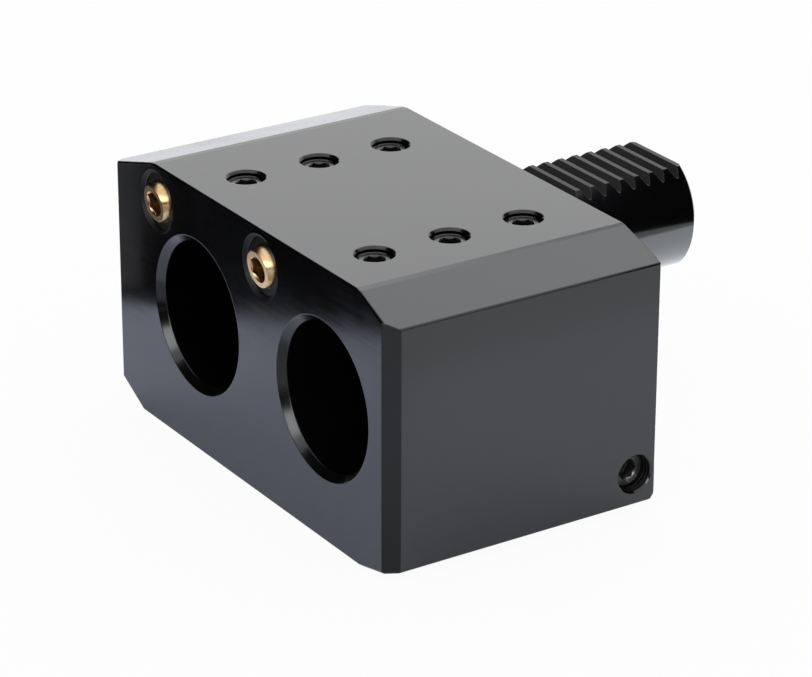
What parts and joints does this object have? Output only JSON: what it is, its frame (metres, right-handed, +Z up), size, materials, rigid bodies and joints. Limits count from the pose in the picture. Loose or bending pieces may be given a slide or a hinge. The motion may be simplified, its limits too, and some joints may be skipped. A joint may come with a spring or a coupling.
{
  "type": "double boring bar holder",
  "caption": "Steel tool holder block with round bores for boring bars, clamp screws on top, brass coolant nozzles in front and a round shank with a toothed rack at the rear.",
  "frame": {"origin": "on the shank's axis, in the flat rear face that meets the machine", "axes": "+Y along the shank, away from the block; +X from the left bore to the right bore; +Z up, the clamp screws' side"},
  "size_m": [0.111, 0.1216, 0.0603],
  "materials": {
    "blackened_steel": "machined and ground steel with a black oxide finish, satin",
    "screw_steel": "black oxide alloy steel, satin",
    "brass": "turned brass, bright",
    "ring_steel": "black oxide steel, satin",
    "plug_steel": "dark steel with worn bright edges",
    "seal_rubber": "black rubber"
  },
  "bodies": {
    "holder": {"holder_body": "blackened_steel", "nozzle_ring_left": "ring_steel", "nozzle_seal_left": "seal_rubber", "nozzle_ring_right": "ring_steel", "nozzle_seal_right": "seal_rubber", "coolant_plug_side": "plug_steel", "coolant_plug_bottom_left": "plug_steel", "coolant_plug_bottom_right": "plug_steel", "shank_seal": "seal_rubber", "inlet_seal": "seal_rubber"},
    "left_front_screw": {"clamp_screw_left_front": "screw_steel"},
    "left_middle_screw": {"clamp_screw_left_middle": "screw_steel"},
    "left_rear_screw": {"clamp_screw_left_rear": "screw_steel"},
    "right_front_screw": {"clamp_screw_right_front": "screw_steel"},
    "right_middle_screw": {"clamp_screw_right_middle": "screw_steel"},
    "right_rear_screw": {"clamp_screw_right_rear": "screw_steel"},
    "left_nozzle": {"nozzle_ball_left": "brass"},
    "right_nozzle": {"nozzle_ball_right": "brass"}
  },
  "joints": [
    {"name": "left_front_screw_travel", "type": "slide", "parent": "holder", "child": "left_front_screw", "axis": [0, 0, 1], "range_m": [-0.003, 0.006]},
    {"name": "left_middle_screw_travel", "type": "slide", "parent": "holder", "child": "left_middle_screw", "axis": [0, 0, 1], "range_m": [-0.003, 0.006]},
    {"name": "left_rear_screw_travel", "type": "slide", "parent": "holder", "child": "left_rear_screw", "axis": [0, 0, 1], "range_m": [-0.003, 0.006]},
    {"name": "right_front_screw_travel", "type": "slide", "parent": "holder", "child": "right_front_screw", "axis": [0, 0, 1], "range_m": [-0.003, 0.006]},
    {"name": "right_middle_screw_travel", "type": "slide", "parent": "holder", "child": "right_middle_screw", "axis": [0, 0, 1], "range_m": [-0.003, 0.006]},
    {"name": "right_rear_screw_travel", "type": "slide", "parent": "holder", "child": "right_rear_screw", "axis": [0, 0, 1], "range_m": [-0.003, 0.006]},
    {"name": "left_nozzle_tilt", "type": "hinge", "parent": "holder", "child": "left_nozzle", "pos_m": [-0.0164, -0.0631, 0.0204], "axis": [1, 0, 0], "range_deg": [-20, 4]},
    {"name": "right_nozzle_tilt", "type": "hinge", "parent": "holder", "child": "right_nozzle", "pos_m": [0.0264, -0.0631, 0.0204], "axis": [1, 0, 0], "range_deg": [-20, 4]}
  ]
}
